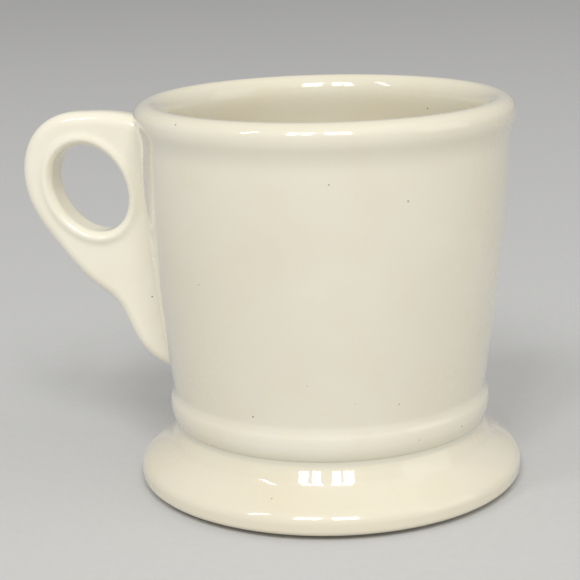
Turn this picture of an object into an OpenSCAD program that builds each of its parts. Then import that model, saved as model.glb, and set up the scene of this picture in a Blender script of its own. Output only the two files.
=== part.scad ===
// Shaving mug: a jiggered bowl on a flared foot, with a ring handle on one side.
// Z is the mug's axis and Z = 0 is the table. The handle points along -X.
// Bowl and foot are turned profiles, written as [radius, height] points and Bezier stretches.

/* [Bowl] */
// Height of the mug
mug_h = 95; // [90:0.5:100]
// Largest radius of the rolled rim
rim_r = 46; // [45:0.1:48]
// Radius of the wall just under the rim's roll
wall_top_r = 44.5; // [43.5:0.1:45]
// Radius of the neck above the bead
neck_r = 39; // [38.5:0.1:40]
// Thickness of the wall
wall_t = 4.6; // [3.5:0.1:5.5]
// Thickness of the floor
floor_t = 5.5; // [4:0.1:8]
// Radius of the bead at its widest
bead_r = 39.8; // [39.5:0.1:41]

/* [Foot] */
// Height of the joint between foot and bowl
joint_z = 15; // [14:0.1:16]
// Largest radius of the foot
foot_r = 47.7; // [46.5:0.1:50]
// Outer radius of the dry ring that stands on the table
stand_r = 43.6; // [43:0.1:45.5]
// Inner radius of the dry ring that stands on the table
stand_in_r = 40; // [38:0.1:41]
// Radius of the recess at its top, under the bowl
recess_r = 31.5; // [28:0.1:33]

/* [Handle] */
// Distance from the mug's axis to the far side of the handle
handle_reach = 78.1; // [77:0.1:81]
// Height of the handle's top edge
handle_top = 90.7; // [89.5:0.1:91.5]
// Thickness of the handle
handle_t = 9; // [7:0.1:11]
// Rounding of the handle's outer edge
edge_round = 3; // [2:0.1:3.4]
// Rounding of the finger hole's edge
hole_round = 2; // [1:0.1:2.4]
// Distance from the mug's axis to the middle of the finger hole's narrow end
hole_x = 61.6; // [61:0.1:62.2]
// Height of the middle of the finger hole's narrow end
hole_z = 74.7; // [74.4:0.1:75.6]
// Length of the finger hole
hole_l = 23.1; // [20:0.1:24]
// Width of the finger hole
hole_w = 18; // [16:0.1:18.6]
// Lean of the finger hole's length away from the level
hole_lean = 59; // [50:1:70]
// How much fuller the finger hole's lower end is than its upper end
hole_egg = 0.31; // [0:0.01:0.32]

/* [Slip joints] */
// Thickness of the slip between foot and bowl
foot_slip_t = 0.4; // [0.2:0.1:0.8]
// Thickness of the slip between handle and wall
handle_slip_t = 0.3; // [0.2:0.1:0.6]

/* [Hidden] */
glaze = [0.91, 0.89, 0.83];
slip_colour = [0.80, 0.77, 0.70];
turn_fn = 128;

under_z = joint_z + foot_slip_t;       // underside of the bowl
floor_z = under_z + floor_t;           // top of the bowl's floor
top_z = mug_h - 11;                    // where the rim's roll begins
crest_r = rim_r - 3.6;                   // radius of the rim's highest line
bead_z = under_z + 4.5;                // height of the bead's widest line
neck_z = bead_z + 4.6;                 // height of the neck above the bead
slip_r = bead_r - 1.5;                 // radius at which the crease is filled with slip
curve_steps = 8;                       // steps along each Bezier stretch

// One point of a cubic Bezier stretch
function bezier_point(a, b, c, d, t) =
    pow(1 - t, 3) * a + 3 * t * pow(1 - t, 2) * b + 3 * t * t * (1 - t) * c + t * t * t * d;

// A cubic Bezier stretch without its last point, which the next stretch starts with
function bezier(a, b, c, d, n = curve_steps) = [for (i = [0:n - 1]) bezier_point(a, b, c, d, i / n)];

// The bead's section, from the joint over its widest line and its shoulder up to the neck
shoulder = [(bead_r + neck_r) / 2, bead_z + 2.15];
bead = concat(
    bezier([slip_r, under_z], [bead_r - 0.7, under_z + 1.3], [bead_r, bead_z - 1.9], [bead_r, bead_z]),
    bezier([bead_r, bead_z], [bead_r, bead_z + 1], shoulder + [0.27, -0.55], shoulder),
    bezier(shoulder, shoulder + [-0.25, 0.5], [neck_r - 0.07, neck_z - 0.9], [neck_r, neck_z])
);

// Outside of the bowl, from the joint to the rim's widest line
outside = concat(
    bead,
    bezier([neck_r, neck_z], [neck_r + 2.6, neck_z + 20], [wall_top_r - 0.2, top_z - 20], [wall_top_r, top_z]),
    bezier([wall_top_r, top_z], [wall_top_r, top_z + 2], [rim_r - 1.0, top_z + 3.6], [rim_r - 0.65, top_z + 4.6]),
    bezier([rim_r - 0.65, top_z + 4.6], [rim_r - 0.3, top_z + 5.5], [rim_r, top_z + 6.4], [rim_r, mug_h - 3.4])
);

// Roll of the rim, over its crest and down to the start of the inner wall
rim_roll = concat(
    bezier([rim_r, mug_h - 3.4], [rim_r, mug_h - 1.5], [crest_r + 1.9, mug_h], [crest_r, mug_h]),
    bezier([crest_r, mug_h], [crest_r - 2, mug_h], [crest_r - 3.6, mug_h - 2.2], [crest_r - 3.6, mug_h - 5])
);

// Inside of the bowl, from the rim down to the floor and its centre
inside = concat(
    bezier(
        [crest_r - 3.6, mug_h - 5], [crest_r - 3.6, mug_h - 8],
        [wall_top_r - wall_t + 0.1, top_z], [wall_top_r - wall_t + 0.1, top_z - 4]
    ),
    bezier(
        [wall_top_r - wall_t + 0.1, top_z - 4], [wall_top_r - wall_t + 0.1, top_z - 21],
        [neck_r + 2.7 - wall_t, neck_z + 22], [neck_r + 0.2 - wall_t, floor_z + 8]
    ),
    bezier(
        [neck_r + 0.2 - wall_t, floor_z + 8], [neck_r - 0.3 - wall_t, floor_z + 3.6],
        [neck_r - 3.5 - wall_t, floor_z], [neck_r - 8 - wall_t, floor_z]
    ),
    [[neck_r - 8 - wall_t, floor_z], [0, floor_z]]
);

// Outside of the foot, from the joint down its cove, round its lip and onto the table
foot_outside = concat(
    bezier([slip_r, joint_z], [slip_r + 0.4, joint_z - 1.1], [slip_r + 1.1, 13], [slip_r + 1.8, 11.7]),
    bezier([slip_r + 1.8, 11.7], [slip_r + 2.7, 10.03], [foot_r - 4.3, 8.55], [foot_r - 1.8, 6.8]),
    bezier([foot_r - 1.8, 6.8], [foot_r - 0.9, 6.17], [foot_r, 5.2], [foot_r, 4]),
    bezier([foot_r, 4], [foot_r, 3.5], [foot_r, 3], [foot_r - 0.05, 2.5]),
    bezier([foot_r - 0.05, 2.5], [foot_r - 0.1, 1.7], [foot_r - 0.8, 1.2], [foot_r - 1.7, 1.0]),
    bezier([foot_r - 1.7, 1.0], [foot_r - 2.6, 0.8], [stand_r + 0.4, 0.4], [stand_r, 0]),
    [[stand_r, 0]]
);

// Inside of the foot, from the table up the recess
foot_inside = concat(
    bezier([stand_in_r, 0], [stand_in_r - 1, 0.2], [stand_in_r - 1.6, 1], [stand_in_r - 2, 2]),
    bezier([stand_in_r - 2, 2], [stand_in_r - 4, 6], [recess_r + 1, 9], [recess_r, joint_z]),
    [[recess_r, joint_z]]
);

// Outline of the handle in [distance from the axis, height]: along its top from inside the wall,
// round its far side, down the long tail and back inside the wall
crest_x = handle_reach - 16;
root_x = 34;
root_z = handle_top - 7.2;
tail_z = 23.6;
outline = concat(
    bezier([root_x, root_z], [46.4, handle_top + 1.8], [crest_x - 3.5, handle_top], [crest_x, handle_top]),
    bezier([crest_x, handle_top], [crest_x + 10.7, handle_top], [handle_reach, 83.4], [handle_reach, 75.3]),
    bezier([handle_reach, 75.3], [handle_reach, 68.6], [75.6, 63.9], [70.1, 57.05]),
    bezier([70.1, 57.05], [67.1, 53.35], [63.5, 48.55], [58.2, 45.15]),
    bezier([58.2, 45.15], [53.9, 42.4], [53.35, 40.25], [51.2, 35.5]),
    bezier([51.2, 35.5], [49.5, 31.75], [47.5, 28.95], [44, 27]),
    bezier([44, 27], [41.9, 25.85], [38, tail_z + 0.7], [root_x, tail_z]),
    [for (i = [0:7]) [root_x, tail_z + (root_z - tail_z) * i / 8]]
);
loop_n = len(outline);

// A point of the outline, moved in by e square to its edge, or by less where it is deep inside the bowl
function outline_in(i, e) =
    let (
        ahead = outline[(i + 1) % loop_n],
        behind = outline[(i + loop_n - 1) % loop_n],
        along = (ahead - behind) / norm(ahead - behind),
        share = min(1, (outline[i][0] - root_x) / 4)
    )
    outline[i] + e * share * [along[1], -along[0]];

// The finger hole's edge on the line from its middle to a point of the outline
function hole_at(i) =
    let (
        away = outline[i % loop_n] - [hole_x, hole_z],
        lean = atan2(away[1], away[0]) - hole_lean,
        half_l = hole_l / 2,
        half_w = hole_w / 2,
        reach = half_l * half_w / norm([half_w * cos(lean), half_l * sin(lean)]),
        full = reach * (1 - hole_egg * reach * cos(lean) / half_l)
    )
    [hole_x, hole_z] + full * away / norm(away);

// The finger hole's edge, moved out by e square to it
function hole_out(i, e) =
    let (along = hole_at(i + 1) - hole_at(i + loop_n - 1))
    hole_at(i) + e * [-along[1], along[0]] / norm(along);

// The handle's section: [0 for the outline or 1 for the hole, how far from its edge, height off the middle]
turn = [0, 30, 60, 90];
section = concat(
    [for (a = [90, 60, 30, 0]) [0, edge_round * (1 - cos(a)), edge_round - handle_t / 2 - edge_round * sin(a)]],
    [for (a = turn) [0, edge_round * (1 - cos(a)), handle_t / 2 - edge_round + edge_round * sin(a)]],
    [for (a = [90, 60, 30, 0]) [1, hole_round * (1 - cos(a)), handle_t / 2 - hole_round + hole_round * sin(a)]],
    [for (a = turn) [1, hole_round * (1 - cos(a)), hole_round - handle_t / 2 - hole_round * sin(a)]]
);
rows = len(section);

// The whole plate of the handle as a ring of sections, running on into the bowl
module plate() {
    points = [
        for (s = section)
            for (i = [0:loop_n - 1])
                let (p = s[0] == 0 ? outline_in(i, s[1]) : hole_out(i, s[1]))
                [-p[0], s[2], p[1]]
    ];
    faces = [
        for (r = [0:rows - 1])
            for (i = [0:loop_n - 1])
                let (next_r = (r + 1) % rows, next_i = (i + 1) % loop_n)
                [r * loop_n + i, r * loop_n + next_i, next_r * loop_n + next_i, next_r * loop_n + i]
    ];
    polyhedron(points, faces);
}

// The bowl's outside as a full body, grown outwards by g
module wall_body(g) {
    rotate_extrude($fn = turn_fn)
        polygon(concat([[0, under_z]], [for (p = outside) p + [g, 0]], [[rim_r + g, mug_h - 2.6], [0, mug_h - 2.6]]));
}

module cup() {
    color(glaze)
        rotate_extrude($fn = turn_fn)
            polygon(concat([[0, under_z]], outside, rim_roll, inside));
}

module foot() {
    color(glaze)
        rotate_extrude($fn = turn_fn)
            polygon(concat(foot_outside, foot_inside));
}

module foot_slip() {
    color(slip_colour)
        translate([0, 0, joint_z])
            difference() {
                cylinder(h = foot_slip_t, r = slip_r, $fn = turn_fn);
                translate([0, 0, -1])
                    cylinder(h = foot_slip_t + 2, r = recess_r, $fn = turn_fn);
            }
}

module handle() {
    color(glaze)
        difference() {
            plate();
            wall_body(handle_slip_t);
        }
}

module handle_slip() {
    color(slip_colour)
        intersection() {
            plate();
            difference() {
                wall_body(handle_slip_t);
                wall_body(0);
            }
        }
}

cup();
foot();
foot_slip();
handle();
handle_slip();
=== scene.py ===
import math

import bpy
import numpy as np
from mathutils import Matrix, Vector


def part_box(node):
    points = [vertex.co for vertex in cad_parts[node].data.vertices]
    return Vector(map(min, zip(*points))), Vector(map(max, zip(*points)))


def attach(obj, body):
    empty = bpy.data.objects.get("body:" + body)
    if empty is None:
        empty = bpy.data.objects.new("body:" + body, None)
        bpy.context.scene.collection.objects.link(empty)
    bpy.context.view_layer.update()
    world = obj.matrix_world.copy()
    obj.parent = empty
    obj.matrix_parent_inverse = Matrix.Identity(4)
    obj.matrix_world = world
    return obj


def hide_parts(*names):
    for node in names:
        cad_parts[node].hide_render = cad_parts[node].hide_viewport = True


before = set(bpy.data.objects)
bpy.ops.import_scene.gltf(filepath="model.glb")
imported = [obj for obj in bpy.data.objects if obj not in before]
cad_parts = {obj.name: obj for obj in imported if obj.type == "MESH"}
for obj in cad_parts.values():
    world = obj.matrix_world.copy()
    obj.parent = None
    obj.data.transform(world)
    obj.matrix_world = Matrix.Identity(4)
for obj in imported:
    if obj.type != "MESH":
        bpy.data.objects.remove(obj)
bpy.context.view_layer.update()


# ---- The cup -------------------------------------------------------------------------------
# A thick-walled bowl of white earthenware with a rolled rim, and a low bead round its bottom.
# It is turned in a plaster mould on the wheel, fired, and dipped in a glossy cream glaze.

MM = 0.001
cup_low, cup_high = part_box("cup")
under_z = cup_low.z / MM
mug_h = cup_high.z / MM
rim_r = cup_high.x / MM
crest_r = rim_r - 3.6
lip_r = crest_r - 3.6
top_z = mug_h - 11
wall_top_r = rim_r - 1.5
wall_t = 4.6
neck_r = 39.0
neck_z = under_z + 9.1
floor_z = under_z + 5.5
bead_r = 39.8
bead_z = under_z + 4.5
shoulder = [39.45, under_z + 6.65]
cup_edge_r = 38.35


def stretch(a, b, c, d, steps=60):
    """Points along one smooth stretch of a profile from a to d, without d itself."""
    t = np.linspace(0, 1, steps, endpoint=False)[:, None]
    a, b, c, d = (np.array(p, float) for p in (a, b, c, d))
    return (1 - t) ** 3 * a + 3 * t * (1 - t) ** 2 * b + 3 * t * t * (1 - t) * c + t ** 3 * d


# Outside of the cup from the joint up to the rim's widest line, as [radius, height] in millimetres
cup_outside = np.vstack([
    stretch([cup_edge_r, under_z], [39.1, under_z + 1.3], [bead_r, bead_z - 1.9], [bead_r, bead_z]),
    stretch([bead_r, bead_z], [bead_r, bead_z + 1], [39.72, under_z + 6.1], shoulder),
    stretch(shoulder, [39.20, under_z + 7.15], [neck_r - 0.07, neck_z - 0.9], [neck_r, neck_z]),
    stretch(
        [neck_r, neck_z], [neck_r + 2.6, neck_z + 20],
        [wall_top_r - 0.2, top_z - 20], [wall_top_r, top_z]
    ),
    stretch(
        [wall_top_r, top_z], [wall_top_r, top_z + 2],
        [rim_r - 1.0, top_z + 3.6], [rim_r - 0.65, top_z + 4.6]
    ),
    stretch(
        [rim_r - 0.65, top_z + 4.6], [rim_r - 0.3, top_z + 5.5],
        [rim_r, top_z + 6.4], [rim_r, mug_h - 3.4]
    ),
])
# The rim's roll, over its crest and down to the start of the inner wall
cup_rim = np.vstack([
    stretch([rim_r, mug_h - 3.4], [rim_r, mug_h - 1.5], [crest_r + 1.9, mug_h], [crest_r, mug_h]),
    stretch([crest_r, mug_h], [crest_r - 2, mug_h], [lip_r, mug_h - 2.2], [lip_r, mug_h - 5]),
])
# Inside of the bowl, from the roll down to the edge of its flat floor
inner_r = wall_top_r - wall_t + 0.1
hollow_r = neck_r - wall_t
flat_r = hollow_r - 8
cup_inside = np.vstack([
    stretch([lip_r, mug_h - 5], [lip_r, mug_h - 8], [inner_r, top_z], [inner_r, top_z - 4]),
    stretch(
        [inner_r, top_z - 4], [inner_r, top_z - 21],
        [hollow_r + 2.7, floor_z + 26.6], [hollow_r + 0.2, floor_z + 8]
    ),
    stretch(
        [hollow_r + 0.2, floor_z + 8], [hollow_r - 0.3, floor_z + 3.6],
        [hollow_r - 3.5, floor_z], [flat_r, floor_z]
    ),
    [[flat_r, floor_z]],
])


def rows(profile, reach=1.6, bend=3.5):
    """Thins a profile to rows that lie at most reach apart and turn by at most bend degrees each."""
    step = np.diff(profile, axis=0)
    long = np.hypot(step[:, 0], step[:, 1])
    keep = long > 1e-9
    profile = np.vstack([profile[:-1][keep], profile[-1:]])
    step, long = step[keep], long[keep]
    lean = np.unwrap(np.arctan2(step[:, 1], step[:, 0]))
    turn = np.abs(np.gradient(np.degrees(lean)))
    measure = np.concatenate([[0], np.cumsum(np.maximum(long / reach, turn / bend))])
    count = int(math.ceil(measure[-1])) + 1
    at = np.linspace(0, measure[-1], count)
    return np.column_stack([np.interp(at, measure, profile[:, 0]), np.interp(at, measure, profile[:, 1])])


def line(a, b, reach=2.0):
    """Points along a straight line from a to b, without b itself."""
    count = max(1, int(math.hypot(b[0] - a[0], b[1] - a[1]) / reach))
    t = np.linspace(0, 1, count, endpoint=False)[:, None]
    return np.array(a) * (1 - t) + np.array(b) * t


def wheel_tree():
    """A Geometry Nodes tree that turns a profile round the Z axis into a closed, smooth body."""
    tree = bpy.data.node_groups.new("turned_on_the_wheel", "GeometryNodeTree")
    face = tree.interface
    face.new_socket(name="Profile", in_out="INPUT", socket_type="NodeSocketGeometry")
    for name, kind, value in (
        ("Profile Rows", "NodeSocketInt", 2),
        ("Steps Around", "NodeSocketInt", 256),
        ("Unevenness", "NodeSocketFloat", 0.0),
        ("Uneven Scale", "NodeSocketFloat", 6.0),
        ("Seed", "NodeSocketFloat", 3.0),
        ("Bare Below", "NodeSocketFloat", -1.0),
    ):
        face.new_socket(name=name, in_out="INPUT", socket_type=kind).default_value = value
    face.new_socket(name="Glaze", in_out="INPUT", socket_type="NodeSocketMaterial")
    face.new_socket(name="Bare Clay", in_out="INPUT", socket_type="NodeSocketMaterial")
    face.new_socket(name="Body", in_out="OUTPUT", socket_type="NodeSocketGeometry")

    def node(kind, **settings):
        made = tree.nodes.new(kind)
        for key, value in settings.items():
            setattr(made, key, value)
        return made

    def join(source, target):
        tree.links.new(source, target)

    def maths(operation, first, second=None):
        made = node("ShaderNodeMath", operation=operation)
        for k, value in enumerate((first, second)):
            if isinstance(value, (int, float)):
                made.inputs[k].default_value = value
            elif value is not None:
                join(value, made.inputs[k])
        return made.outputs[0]

    given = node("NodeGroupInput").outputs
    around = maths("ADD", given["Steps Around"], 1)
    grid = node("GeometryNodeMeshGrid")
    join(given["Profile Rows"], grid.inputs["Vertices X"])
    join(around, grid.inputs["Vertices Y"])
    index = node("GeometryNodeInputIndex").outputs[0]
    row = node("FunctionNodeIntegerMath", operation="DIVIDE_FLOOR")
    column = node("FunctionNodeIntegerMath", operation="MODULO")
    for split in (row, column):
        join(index, split.inputs[0])
        join(around, split.inputs[1])
    place = node("GeometryNodeSampleIndex", data_type="FLOAT_VECTOR", domain="POINT")
    join(given["Profile"], place.inputs["Geometry"])
    join(node("GeometryNodeInputPosition").outputs[0], place.inputs["Value"])
    join(row.outputs[0], place.inputs["Index"])
    named = node("GeometryNodeInputNamedAttribute", data_type="FLOAT")
    named.inputs["Name"].default_value = "pool"
    pool = node("GeometryNodeSampleIndex", data_type="FLOAT", domain="POINT")
    join(given["Profile"], pool.inputs["Geometry"])
    join(named.outputs[0], pool.inputs["Value"])
    join(row.outputs[0], pool.inputs["Index"])
    apart = node("ShaderNodeSeparateXYZ")
    join(place.outputs[0], apart.inputs[0])
    angle = maths("MULTIPLY", maths("DIVIDE", column.outputs[0], given["Steps Around"]), -2 * math.pi)
    east, north = maths("COSINE", angle), maths("SINE", angle)
    compass = node("ShaderNodeCombineXYZ")
    join(maths("MULTIPLY", east, given["Uneven Scale"]), compass.inputs[0])
    join(maths("MULTIPLY", north, given["Uneven Scale"]), compass.inputs[1])
    noise = node("ShaderNodeTexNoise", noise_dimensions="4D")
    join(compass.outputs[0], noise.inputs["Vector"])
    join(given["Seed"], noise.inputs["W"])
    noise.inputs["Scale"].default_value = 1.0
    noise.inputs["Detail"].default_value = 3.0
    stray = maths("MULTIPLY", maths("SUBTRACT", noise.outputs[0], 0.5), given["Unevenness"])
    radius = maths("MAXIMUM", maths("ADD", apart.outputs[0], stray), 0.0)
    spot = node("ShaderNodeCombineXYZ")
    join(maths("MULTIPLY", radius, east), spot.inputs[0])
    join(maths("MULTIPLY", radius, north), spot.inputs[1])
    join(apart.outputs[2], spot.inputs[2])
    moved = node("GeometryNodeSetPosition")
    join(grid.outputs["Mesh"], moved.inputs["Geometry"])
    join(spot.outputs[0], moved.inputs["Position"])
    stored = node("GeometryNodeStoreNamedAttribute", data_type="FLOAT", domain="POINT")
    stored.inputs["Name"].default_value = "pool"
    join(moved.outputs[0], stored.inputs["Geometry"])
    join(pool.outputs[0], stored.inputs["Value"])
    closed = node("GeometryNodeMergeByDistance")
    closed.inputs["Distance"].default_value = 2e-6
    join(stored.outputs[0], closed.inputs["Geometry"])
    smooth = node("GeometryNodeSetShadeSmooth")
    join(closed.outputs[0], smooth.inputs["Geometry"])
    real = node("GeometryNodeRealizeInstances")
    join(smooth.outputs[0], real.inputs[0])
    glazed = node("GeometryNodeSetMaterial")
    join(real.outputs[0], glazed.inputs["Geometry"])
    join(given["Glaze"], glazed.inputs["Material"])
    height = node("ShaderNodeSeparateXYZ")
    join(node("GeometryNodeInputPosition").outputs[0], height.inputs[0])
    bare = node("GeometryNodeSetMaterial")
    join(glazed.outputs[0], bare.inputs["Geometry"])
    join(maths("LESS_THAN", height.outputs[2], given["Bare Below"]), bare.inputs["Selection"])
    join(given["Bare Clay"], bare.inputs["Material"])
    join(bare.outputs[0], node("NodeGroupOutput").inputs[0])
    return tree


wheel = wheel_tree()


def turned(name, profile, pool, glaze, **sizes):
    """Turns a profile in millimetres on the wheel, and returns it as a plain mesh object."""
    mesh = bpy.data.meshes.new(name)
    count = len(profile)
    mesh.from_pydata([(r * MM, 0, z * MM) for r, z in profile], [(i, i + 1) for i in range(count - 1)], [])
    mesh.attributes.new("pool", "FLOAT", "POINT").data.foreach_set("value", np.array(pool, np.float32))
    piece = bpy.data.objects.new(name, mesh)
    bpy.context.scene.collection.objects.link(piece)
    wheel_work = piece.modifiers.new("wheel", "NODES")
    wheel_work.node_group = wheel
    inputs = {s.name: s.identifier for s in wheel.interface.items_tree if s.in_out == "INPUT"}
    for label, value in {"Profile Rows": count, "Glaze": glaze, **sizes}.items():
        wheel_work[inputs[label]] = value
    piece.update_tag()
    evaluated = piece.evaluated_get(bpy.context.evaluated_depsgraph_get())
    finished = bpy.data.meshes.new_from_object(evaluated)
    piece.modifiers.clear()
    piece.data = finished
    finished.name = name
    return piece


def glaze(name, light, deep, speck_shift):
    """Glossy cream glaze over a white body: soft mottling, pooling, pin specks and a fine ripple."""
    material = bpy.data.materials.new(name)
    material.use_nodes = True
    nodes, links = material.node_tree.nodes, material.node_tree.links
    shader = nodes["Principled BSDF"]

    def node(kind, **values):
        made = nodes.new(kind)
        for key, value in values.items():
            if key in made.inputs:
                made.inputs[key].default_value = value
            else:
                setattr(made, key, value)
        return made

    def blend(amount, first, second):
        made = node("ShaderNodeMix", data_type="RGBA")
        for socket, value in ((0, amount), (6, first), (7, second)):
            if isinstance(value, (tuple, float)):
                made.inputs[socket].default_value = value
            else:
                links.new(value, made.inputs[socket])
        return made.outputs[2]

    def ranged(value, low, high, to_low, to_high):
        made = node("ShaderNodeMapRange")
        links.new(value, made.inputs[0])
        for k, number in enumerate((low, high, to_low, to_high), 1):
            made.inputs[k].default_value = number
        return made.outputs[0]

    place = node("ShaderNodeTexCoord").outputs["Object"]
    moved = node("ShaderNodeMapping")
    moved.inputs["Location"].default_value = speck_shift
    links.new(place, moved.inputs[0])
    cloud = node("ShaderNodeTexNoise", Scale=24.0, Detail=3.0, Roughness=0.5)
    drift = node("ShaderNodeTexNoise", Scale=75.0, Detail=4.0, Roughness=0.55)
    links.new(moved.outputs[0], cloud.inputs["Vector"])
    links.new(moved.outputs[0], drift.inputs["Vector"])
    colour = blend(ranged(cloud.outputs[0], 0.35, 0.65, 0, 1), light, deep)
    warmer = tuple(c * s for c, s in zip(deep[:3], (1.0, 0.982, 0.94))) + (1.0,)
    colour = blend(ranged(drift.outputs[0], 0.45, 0.75, 0, 0.6), colour, warmer)
    pooled = node("ShaderNodeAttribute", attribute_name="pool").outputs["Fac"]
    cooler = tuple(c * s for c, s in zip(deep[:3], (0.935, 0.96, 0.955))) + (1.0,)
    colour = blend(ranged(pooled, 0, 1, 0, 0.75), colour, cooler)
    thin = tuple(c * s for c, s in zip(light[:3], (1.0, 0.985, 0.93))) + (1.0,)
    colour = blend(ranged(pooled, 0, -1, 0, 0.8), colour, thin)
    specks = node("ShaderNodeTexVoronoi", Scale=120.0)
    links.new(moved.outputs[0], specks.inputs["Vector"])
    speck = ranged(specks.outputs["Distance"], 0.020, 0.034, 1, 0)
    colour = blend(ranged(speck, 0, 1, 0, 0.75), colour, (0.16, 0.12, 0.09, 1.0))
    links.new(colour, shader.inputs["Base Color"])

    links.new(ranged(drift.outputs[0], 0.3, 0.7, 0.20, 0.30), shader.inputs["Roughness"])
    ripple = node("ShaderNodeTexNoise", Scale=42.0, Detail=2.0, Roughness=0.4)
    peel = node("ShaderNodeTexNoise", Scale=650.0, Detail=2.0, Roughness=0.5)
    links.new(moved.outputs[0], ripple.inputs["Vector"])
    links.new(moved.outputs[0], peel.inputs["Vector"])
    soft = node("ShaderNodeBump", Strength=1.0, Distance=0.00006)
    fine = node("ShaderNodeBump", Strength=1.0, Distance=0.0000016)
    pit = node("ShaderNodeBump", Strength=0.6, Distance=0.00002, invert=True)
    links.new(ripple.outputs[0], soft.inputs["Height"])
    links.new(peel.outputs[0], fine.inputs["Height"])
    links.new(speck, pit.inputs["Height"])
    links.new(soft.outputs[0], fine.inputs["Normal"])
    links.new(fine.outputs[0], pit.inputs["Normal"])
    links.new(pit.outputs[0], shader.inputs["Normal"])
    links.new(pit.outputs[0], shader.inputs["Coat Normal"])
    shader.inputs["IOR"].default_value = 1.5
    shader.inputs["Specular IOR Level"].default_value = 0.12
    shader.inputs["Coat Weight"].default_value = 1.0
    shader.inputs["Coat Roughness"].default_value = 0.035
    shader.inputs["Coat IOR"].default_value = 1.52
    return material


cup_glaze = glaze(
    "cream_glaze_cup", (0.835, 0.800, 0.680, 1.0), (0.81, 0.765, 0.630, 1.0), (0.31, 0.12, 0.05)
)

cup_profile = np.vstack([
    line([0, floor_z], [flat_r, floor_z]),
    rows(cup_inside[::-1]),
    rows(np.vstack([cup_rim, cup_inside[:1]])[::-1], reach=0.6, bend=5)[1:],
    rows(np.vstack([cup_outside, cup_rim[:1]])[::-1])[1:],
    line([cup_edge_r, under_z], [0, under_z])[1:],
    [[0, under_z]],
])[::-1]
# The glaze is thin on the rim's crest, and pools in the joint and round the floor's edge
cup_thin = -np.exp(-((cup_profile[:, 1] - mug_h) / 1.4) ** 2)
cup_pooled = np.exp(-(np.maximum(cup_profile[:, 1] - under_z, 0) / 1.8) ** 2) * (cup_profile[:, 0] > 37)
floor_pooled = 0.5 * np.exp(-((cup_profile[:, 0] - hollow_r + 3) / 3) ** 2)
floor_pooled *= np.exp(-((cup_profile[:, 1] - floor_z) / 3) ** 2)
cup = turned("turned_cup", cup_profile, cup_thin + cup_pooled + floor_pooled, cup_glaze)
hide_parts("cup")
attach(cup, "root")


# ---- The foot ------------------------------------------------------------------------------
# A flared ring foot, turned on its own and stuck under the cup while both are leather-hard.
# It is glazed all over but for the dry ring, which is wiped bare so that it doesn't stick in the kiln.

foot_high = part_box("foot")[1]
joint_z = foot_high.z / MM
foot_r = foot_high.x / MM
stand_r = foot_r - 4.1
stand_in_r = 40.0
recess_r = 31.5
foot_top_r = 38.3


def bare_clay(name):
    """Bare fired earthenware: buff, dull and slightly grainy, rubbed grey where it stands."""
    material = bpy.data.materials.new(name)
    material.use_nodes = True
    nodes, links = material.node_tree.nodes, material.node_tree.links
    shader = nodes["Principled BSDF"]
    place = nodes.new("ShaderNodeTexCoord").outputs["Object"]
    grain = nodes.new("ShaderNodeTexNoise")
    grain.inputs["Scale"].default_value = 900.0
    grain.inputs["Detail"].default_value = 5.0
    scuff = nodes.new("ShaderNodeTexNoise")
    scuff.inputs["Scale"].default_value = 130.0
    scuff.inputs["Detail"].default_value = 6.0
    tint = nodes.new("ShaderNodeValToRGB")
    tint.color_ramp.elements[0].position = 0.38
    tint.color_ramp.elements[0].color = (0.40, 0.36, 0.30, 1.0)
    tint.color_ramp.elements[1].position = 0.56
    tint.color_ramp.elements[1].color = (0.66, 0.58, 0.46, 1.0)
    rough = nodes.new("ShaderNodeMapRange")
    rough.inputs[3].default_value = 0.72
    rough.inputs[4].default_value = 0.95
    bump = nodes.new("ShaderNodeBump")
    bump.inputs["Distance"].default_value = 0.00006
    links.new(place, grain.inputs["Vector"])
    links.new(place, scuff.inputs["Vector"])
    links.new(scuff.outputs[0], tint.inputs[0])
    links.new(grain.outputs[0], rough.inputs[0])
    links.new(grain.outputs[0], bump.inputs["Height"])
    links.new(tint.outputs[0], shader.inputs["Base Color"])
    links.new(rough.outputs[0], shader.inputs["Roughness"])
    links.new(bump.outputs[0], shader.inputs["Normal"])
    return material


foot_glaze = glaze(
    "cream_glaze_foot", (0.835, 0.785, 0.655, 1.0), (0.81, 0.75, 0.605, 1.0), (0.07, 0.23, 0.41)
)
dry_clay = bare_clay("dry_ring_clay")

# Down the cove, round the lip, under the dry ring, up the recess and back along the joint
foot_profile = np.vstack([
    rows(np.vstack([
        stretch([foot_top_r, joint_z], [foot_top_r + 0.4, joint_z - 1.1], [39.4, 13.0], [40.1, 11.7]),
        stretch([40.1, 11.7], [41.0, 10.03], [foot_r - 4.3, 8.55], [foot_r - 1.8, 6.8]),
        stretch([foot_r - 1.8, 6.8], [foot_r - 0.9, 6.17], [foot_r, 5.2], [foot_r, 4]),
        stretch([foot_r, 4], [foot_r, 3.5], [foot_r, 3], [foot_r - 0.05, 2.5]),
        stretch([foot_r - 0.05, 2.5], [foot_r - 0.1, 1.7], [foot_r - 0.8, 1.2], [foot_r - 1.7, 1.0]),
        stretch([foot_r - 1.7, 1.0], [foot_r - 2.6, 0.8], [stand_r + 0.4, 0.4], [stand_r, 0]),
        [[stand_r, 0]],
    ]), reach=0.9),
    line([stand_r, 0], [stand_in_r, 0], 1.2)[1:],
    rows(np.vstack([
        stretch([stand_in_r, 0], [stand_in_r - 1, 0.2], [stand_in_r - 1.6, 1], [stand_in_r - 2, 2]),
        stretch([stand_in_r - 2, 2], [stand_in_r - 4, 6], [recess_r + 1, 9], [recess_r, joint_z]),
        [[recess_r, joint_z]],
    ])),
    line([recess_r, joint_z], [foot_top_r, joint_z])[1:],
    [[foot_top_r, joint_z]],
])[::-1]
foot_depth = joint_z - foot_profile[:, 1]
foot_pooled = np.exp(-(foot_depth / 1.8) ** 2) * (foot_profile[:, 0] > 37)
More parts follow.
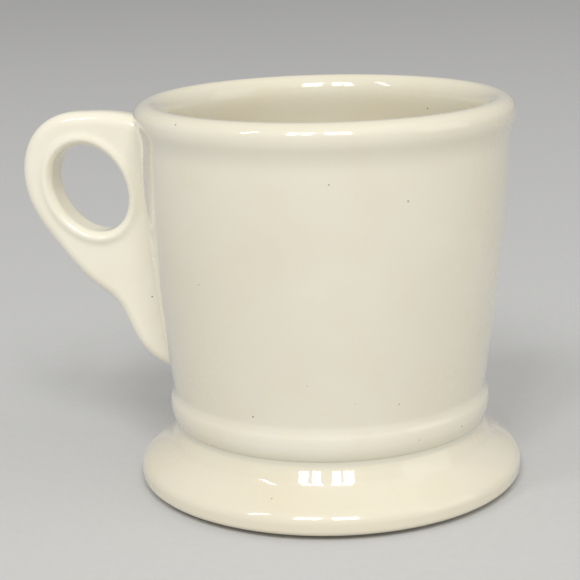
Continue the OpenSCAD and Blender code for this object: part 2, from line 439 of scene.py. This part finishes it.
foot_thin = -0.7 * np.exp(-((foot_profile[:, 1] - 3.2) / 1.8) ** 2) * (foot_profile[:, 0] > 46)
foot = turned("turned_foot", foot_profile, foot_pooled + foot_thin, foot_glaze,
              **{"Bare Clay": dry_clay, "Bare Below": 2e-5})
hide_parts("foot")
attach(foot, "root")


# ---- The slip between foot and cup ---------------------------------------------------------
# Liquid clay brushed on the joint. What is squeezed out is sponged to a soft, slightly uneven
# fillet in the crease outside and round the recess inside, and the glaze runs thicker over it.

crease_top = [38.82, joint_z + 1.45]
crease_foot = [38.60, joint_z - 0.85]
recess_edge = [29.6, under_z - 0.01]
slip_profile = np.vstack([
    rows(np.vstack([
        stretch(crease_top, [38.49, joint_z + 0.75], [38.34, joint_z - 0.15], crease_foot),
        [crease_foot],
    ]), reach=0.15),
    [[38.3, joint_z - 0.85], [37.9, joint_z - 0.05], [32.2, joint_z - 0.05], [31.9, 12.6]],
    rows(np.vstack([
        stretch([31.80, 12.6], [31.55, 14.2], [31.2, under_z - 0.05], recess_edge),
        [recess_edge],
    ]), reach=0.4),
    [[29.6, under_z + 0.06], [37.9, under_z + 0.06], [38.5, joint_z + 1.45], crease_top],
])[::-1]
# The joint's glaze is painted a little lighter than the cup's: painted light that offsets the shade in the
# creases.
slip_glaze_painted_light = glaze(
    "cream_glaze_joint_painted_light", (0.845, 0.805, 0.69, 1.0), (0.82, 0.775, 0.645, 1.0), (0.15, 0.37, 0.22)
)
foot_slip = turned("joint_fillet", slip_profile, np.full(len(slip_profile), 0.8), slip_glaze_painted_light,
                   **{"Unevenness": 0.00006, "Uneven Scale": 7.0, "Seed": 11.0})
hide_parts("foot_slip")
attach(foot_slip, "root")


# ---- The handle ----------------------------------------------------------------------------
# A press-moulded plate of the same clay: a thick ring for one finger over a curved tail.
# A raised lip runs round the finger hole on both faces, and every edge is sponged round.

handle_low, handle_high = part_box("handle")
reach = -handle_low.x / MM
ring_top = handle_high.z / MM
crest_x = reach - 16.0
tail_z = 23.6
root_x = 34.0
half_t = handle_high.y / MM
edge_round = 3.3
hole_round = 1.5
hole_at = np.array([61.6, 74.7])
hole_half = np.array([11.55, 9.0])
hole_lean = math.radians(59)
hole_egg = 0.31
valley = 0.4
lip_rise = 0.62
lip_off = 1.7
lip_width = 1.25

# From the root inside the wall, over the ring, round its far side and down the tail
handle_outline = np.vstack([
    stretch(
        [root_x, ring_top - 7.2], [46.4, ring_top + 1.8],
        [crest_x - 3.5, ring_top], [crest_x, ring_top]
    ),
    stretch([crest_x, ring_top], [crest_x + 10.7, ring_top], [reach, 83.4], [reach, 75.3]),
    stretch([reach, 75.3], [reach, 68.6], [75.6, 63.9], [70.1, 57.05]),
    stretch([70.1, 57.05], [67.1, 53.35], [63.5, 48.55], [58.2, 45.15]),
    stretch([58.2, 45.15], [53.9, 42.4], [53.35, 40.25], [51.2, 35.5]),
    stretch([51.2, 35.5], [49.5, 31.75], [47.5, 28.95], [44, 27]),
    stretch([44, 27], [41.9, 25.85], [38, tail_z + 0.7], [root_x, tail_z]),
])
round_hole = np.linspace(0, 2 * math.pi, 360, endpoint=False)
fuller = 1 - hole_egg * np.cos(round_hole)
hole_x = hole_half[0] * np.cos(round_hole) * fuller
hole_y = hole_half[1] * np.sin(round_hole) * fuller
hole_outline = np.column_stack([
    hole_at[0] + hole_x * math.cos(hole_lean) - hole_y * math.sin(hole_lean),
    hole_at[1] + hole_x * math.sin(hole_lean) + hole_y * math.cos(hole_lean),
])

table_step = 0.25
table_x = np.arange(34.0, reach + 4, table_step)
table_z = np.arange(19.0, ring_top + 4, table_step)


def depth_table(outline):
    """How far each point of the handle's plane lies inside a closed outline, below 0 outside it."""
    flat = np.stack(np.meshgrid(table_x, table_z, indexing="ij"), -1).reshape(-1, 2)
    start, end = outline, np.roll(outline, -1, axis=0)
    along = end - start
    nearest = np.full(len(flat), 1e9)
    crossings = np.zeros(len(flat), int)
    for s, e, d in zip(start, end, along):
        away = flat - s
        share = np.clip((away @ d) / (d @ d), 0, 1)[:, None]
        nearest = np.minimum(nearest, ((away - share * d) ** 2).sum(1))
        spans = (s[1] > flat[:, 1]) != (e[1] > flat[:, 1])
        if spans.any():
            cross_x = s[0] + d[0] * (flat[:, 1] - s[1]) / (d[1] if d[1] else 1e-9)
            crossings += spans & (flat[:, 0] < cross_x)
    depth = np.sqrt(nearest) * np.where(crossings % 2, 1, -1)
    depth = depth.reshape(len(table_x), len(table_z))
    half = 5
    softness = 0.35
    kernel = np.exp(-0.5 * (np.arange(-half, half + 1) * table_step / softness) ** 2)
    kernel /= kernel.sum()
    for axis in (0, 1):
        margin = [(half, half) if a == axis else (0, 0) for a in (0, 1)]
        padded = np.pad(depth, margin, mode="reflect", reflect_type="odd")
        along_axis = np.arange(depth.shape[axis])
        depth = sum(k * np.take(padded, along_axis + i, axis) for i, k in enumerate(kernel))
    return depth


outer_table = depth_table(handle_outline)
hole_table = -depth_table(hole_outline)


def read(table, x, z):
    """Reads a table at any points, along smooth curves through its values."""
    u = (x - table_x[0]) / table_step
    v = (z - table_z[0]) / table_step
    i = np.clip(np.floor(u).astype(int), 1, len(table_x) - 3)
    j = np.clip(np.floor(v).astype(int), 1, len(table_z) - 3)

    def weights(t):
        return (
            -0.5 * t + t * t - 0.5 * t ** 3, 1 - 2.5 * t * t + 1.5 * t ** 3,
            0.5 * t + 2 * t * t - 1.5 * t ** 3, -0.5 * t * t + 0.5 * t ** 3,
        )

    across, up = weights(u - i), weights(v - j)
    return sum(across[m] * up[n] * table[i + m - 1, j + n - 1] for m in range(4) for n in range(4))


def rounded(first, second, radius):
    """Where both are inside, with a round edge of that radius between them."""
    p, q = first + radius, second + radius
    return np.hypot(np.maximum(p, 0), np.maximum(q, 0)) + np.minimum(np.maximum(p, q), 0) - radius


def plate_gap(p):
    """Millimetres from the handle's plate, negative inside it. Points are [outwards, across, up]."""
    inside_edge = read(outer_table, p[:, 0], p[:, 2])
    from_hole = read(hole_table, p[:, 0], p[:, 2])
    lip = lip_rise * np.exp(-(((from_hole - lip_off) / lip_width) ** 2))
    face = np.abs(p[:, 1]) - (half_t - valley + lip)
    return rounded(rounded(face, -inside_edge, edge_round), -from_hole, hole_round)


wall_z = np.linspace(under_z, mug_h - 2.6, 800)
wall_r = np.interp(wall_z, cup_outside[:, 1], cup_outside[:, 0])
wall_lean = np.gradient(wall_r, wall_z)


def wall_gap(p):
    """Millimetres from the outside of the cup's wall, negative inside it."""
    beyond = np.hypot(p[:, 0], p[:, 1]) - np.interp(p[:, 2], wall_z, wall_r)
    return beyond / np.sqrt(1 + np.interp(p[:, 2], wall_z, wall_lean) ** 2)


def skin(gap, low, high, step, passes=2):
    """A closed mesh on the surface where gap is 0, with its vertices drawn exactly onto it."""
    axes = [np.arange(a, b + step, step) for a, b in zip(low, high)]
    shape = tuple(len(a) for a in axes)
    points = np.stack(np.meshgrid(*axes, indexing="ij"), -1).reshape(-1, 3)
    value = gap(points).reshape(shape)
    inside = value < 0
    corner = [(i, j, k) for i in (0, 1) for j in (0, 1) for k in (0, 1)]
    cells = tuple(n - 1 for n in shape)

    def shifted(grid, c):
        return grid[c[0]:c[0] + cells[0], c[1]:c[1] + cells[1], c[2]:c[2] + cells[2]]

    full = sum(shifted(inside, c).astype(int) for c in corner)
    cut = (full > 0) & (full < 8)
    number = np.full(cells, -1)
    number[cut] = np.arange(cut.sum())
    total, hits = np.zeros((cut.sum(), 3)), np.zeros(cut.sum())
    for a in corner:
        for axis in range(3):
            if a[axis]:
                continue
            b = tuple(1 if k == axis else a[k] for k in range(3))
            va, vb = shifted(value, a)[cut], shifted(value, b)[cut]
            crosses = (va < 0) != (vb < 0)
            share = np.where(crosses, va / np.where(crosses, va - vb, 1), 0)
            spot = np.tile(np.array(a, float), (len(va), 1))
            spot[:, axis] += share
            total[crosses] += spot[crosses]
            hits[crosses] += 1
    first = np.stack(np.nonzero(cut), -1)
    vertices = np.array([a[0] for a in axes]) + (first + total / hits[:, None]) * step
    faces = []
    for axis in range(3):
        one, two = (axis + 1) % 3, (axis + 2) % 3
        span = [slice(1, -1)] * 3
        span[axis] = slice(0, -1)
        after = list(span)
        after[axis] = slice(1, None)
        start, stop = inside[tuple(span)], inside[tuple(after)]
        where = np.stack(np.nonzero(start != stop), -1)
        leaving = start[tuple(where.T)]
        where[:, one] += 1
        where[:, two] += 1
        ring = []
        for da, db in ((-1, -1), (0, -1), (0, 0), (-1, 0)):
            cell = where.copy()
            cell[:, one] += da
            cell[:, two] += db
            ring.append(number[tuple(cell.T)])
        quad = np.stack(ring, -1)
        faces.append(np.where(leaving[:, None], quad, quad[:, ::-1]))
    faces = np.vstack(faces)

    def slope(v):
        e = 0.01
        return np.stack([(gap(v + d) - gap(v - d)) / (2 * e) for d in np.eye(3) * e], -1)

    for turn in range(passes + 2):
        if turn < passes:
            near, links = np.zeros_like(vertices), np.zeros(len(vertices))
            for k in range(4):
                a, b = faces[:, k], faces[:, (k + 1) % 4]
                np.add.at(near, a, vertices[b])
                np.add.at(links, a, 1)
            vertices = 0.5 * vertices + 0.5 * near / links[:, None]
        lean = slope(vertices)
        pull = gap(vertices) / np.maximum((lean ** 2).sum(1), 0.25)
        vertices -= np.clip(pull, -step, step)[:, None] * lean
    lean = slope(vertices)
    return vertices, faces, lean / np.linalg.norm(lean, axis=1)[:, None]


def clay_skin(name, vertices, faces, normals, pool, material):
    """Makes a piece of a skin measured outwards from the mug's axis; the handle points along -X."""
    outwards = np.array([-1.0, -1.0, 1.0])
    mesh = bpy.data.meshes.new(name)
    mesh.from_pydata((vertices * outwards * MM).tolist(), [], faces.tolist())
    mesh.polygons.foreach_set("use_smooth", np.ones(len(mesh.polygons), bool))
    mesh.attributes.new("pool", "FLOAT", "POINT").data.foreach_set("value", pool.astype(np.float32))
    mesh.normals_split_custom_set_from_vertices((normals * outwards).tolist())
    mesh.materials.append(material)
    piece = bpy.data.objects.new(name, mesh)
    bpy.context.scene.collection.objects.link(piece)
    return piece


slip_t = 0.3
handle_skin = skin(
    lambda p: np.maximum(plate_gap(p), slip_t - wall_gap(p)),
    (38.5, -half_t - 1, 22.0), (reach + 0.8, half_t + 1, ring_top + 0.8), 0.36,
)
handle_pool = np.exp(-((np.maximum(wall_gap(handle_skin[0]) - slip_t, 0) / 1.3) ** 2))
# The same glaze as the cup's, but painted lighter: painted light for the brighter light that falls on the
# handle.
handle_glaze_lit = glaze(
    "cream_glaze_handle_lit", (0.93, 0.895, 0.765, 1.0), (0.91, 0.865, 0.725, 1.0), (0.44, 0.03, 0.29)
)
handle = clay_skin("ring_handle", *handle_skin, handle_pool, handle_glaze_lit)
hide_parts("handle")
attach(handle, "root")


# ---- The slip between handle and cup -------------------------------------------------------
# The handle's root is scored and stuck to the wall with slip, which leaves a small fillet all
# round it under the glaze.

fillet = 1.1


def slip_gap(p):
    """Millimetres from the slip: a fillet between plate and wall that dips just under both."""
    plate, wall = plate_gap(p), wall_gap(p)
    joined = np.maximum(fillet, np.minimum(plate, wall))
    joined -= np.hypot(np.maximum(fillet - plate, 0), np.maximum(fillet - wall, 0))
    limits = np.maximum(np.maximum(-0.6 - wall, wall - fillet - 0.3), plate - fillet - 0.3)
    return np.maximum(joined + 0.006, limits)


slip_skin = skin(slip_gap, (37.0, -half_t - 2.2, 20.5), (48.0, half_t + 2.2, mug_h - 2.9), 0.26)
handle_slip = clay_skin("handle_fillet", *slip_skin, np.full(len(slip_skin[0]), 0.8), slip_glaze_painted_light)
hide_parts("handle_slip")
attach(handle_slip, "root")


# ---- The floor -----------------------------------------------------------------------------
# A wide sheet of plain, pale, matt board that the mug stands on.

floor_mesh = bpy.data.meshes.new("floor")
floor_half = 6.0
floor_corners = [(x * floor_half, y * floor_half, 0) for x, y in ((-1, -1), (1, -1), (1, 1), (-1, 1))]
floor_mesh.from_pydata(floor_corners, [], [(0, 1, 2, 3)])
floor = bpy.data.objects.new("floor", floor_mesh)
bpy.context.scene.collection.objects.link(floor)
board = bpy.data.materials.new("pale_board")
board.use_nodes = True
board_nodes, board_links = board.node_tree.nodes, board.node_tree.links
board_grain = board_nodes.new("ShaderNodeTexNoise")
board_grain.inputs["Scale"].default_value = 420.0
board_place = board_nodes.new("ShaderNodeTexCoord")
board_tint = board_nodes.new("ShaderNodeValToRGB")
board_tint.color_ramp.elements[0].color = (0.60, 0.605, 0.61, 1.0)
board_tint.color_ramp.elements[1].color = (0.64, 0.645, 0.65, 1.0)
board_links.new(board_place.outputs["Object"], board_grain.inputs["Vector"])
board_links.new(board_grain.outputs[0], board_tint.inputs[0])
board_links.new(board_tint.outputs[0], board_nodes["Principled BSDF"].inputs["Base Color"])
board_nodes["Principled BSDF"].inputs["Roughness"].default_value = 0.85
floor_mesh.materials.append(board)


# ---- The light -----------------------------------------------------------------------------
# An even pale room, a wide soft light overhead and one at the right, and a row of tall panes
# behind the camera that give the glaze its crisp highlights.

world = bpy.data.worlds.new("room")
world.use_nodes = True
world.node_tree.nodes["Background"].inputs[0].default_value = (1.0, 0.985, 0.955, 1.0)
world.node_tree.nodes["Background"].inputs[1].default_value = 0.44
bpy.context.scene.world = world
camera_turn = 13.0


def lamp(name, bearing, height, distance, width, tall, power, colour=(1.0, 1.0, 1.0)):
    """A flat light that faces the mug. Bearing and height are in degrees, seen from the mug."""
    data = bpy.data.lights.new(name, "AREA")
    data.shape = "RECTANGLE"
    data.size, data.size_y = width, tall
    data.energy = power
    data.color = colour
    light = bpy.data.objects.new(name, data)
    bpy.context.scene.collection.objects.link(light)
    turn, up = math.radians(bearing + camera_turn), math.radians(height)
    away = Vector((math.sin(turn) * math.cos(up), -math.cos(turn) * math.cos(up), math.sin(up)))
    light.location = away * distance + Vector((0, 0, mug_h * MM / 2))
    light.rotation_euler = away.to_track_quat("Z", "Y").to_euler()
    return light


lamp("overhead", 40, 60, 1.7, 1.8, 1.4, 2.0, (1.0, 0.985, 0.95))
lamp("side", 75, 20, 1.9, 1.2, 1.2, 3.4, (1.0, 0.98, 0.94))
panes = ((-54, 0.16), (-21.4, 0.24), (-11.4, 0.21), (4.2, 0.21), (13.7, 0.26))
for number, (bearing, width) in enumerate(panes):
    lamp("pane_%d" % number, bearing, 45, 2.3, width, 0.8, 29.5 * width, (1.0, 0.99, 0.965))


# ---- The camera ----------------------------------------------------------------------------
# A short telephoto view from a little above, with the handle turned slightly away.

camera_data = bpy.data.cameras.new("camera")
camera_data.lens = 100.43
camera_data.sensor_width = 36.0
camera = bpy.data.objects.new("camera", camera_data)
bpy.context.scene.collection.objects.link(camera)
heading = math.radians(camera_turn + 1.369)
dip, tilt = 0.2524, -0.0264
ahead = Vector((-math.sin(heading) * math.cos(dip), math.cos(heading) * math.cos(dip), -math.sin(dip)))
level = ahead.cross(Vector((0, 0, 1))).normalized()
upright = level.cross(ahead)
right = level * math.cos(tilt) + upright * math.sin(tilt)
up = upright * math.cos(tilt) - level * math.sin(tilt)
turned_to = Matrix((right, up, -ahead)).transposed().to_4x4()
camera_away, camera_high = 0.38823, 0.14717
stand_turn = math.radians(camera_turn)
stand = Vector((math.sin(stand_turn), -math.cos(stand_turn), 0)) * camera_away
camera.matrix_world = Matrix.Translation(stand + Vector((0, 0, camera_high))) @ turned_to
bpy.context.scene.camera = camera
bpy.context.scene.view_settings.view_transform = "Standard"
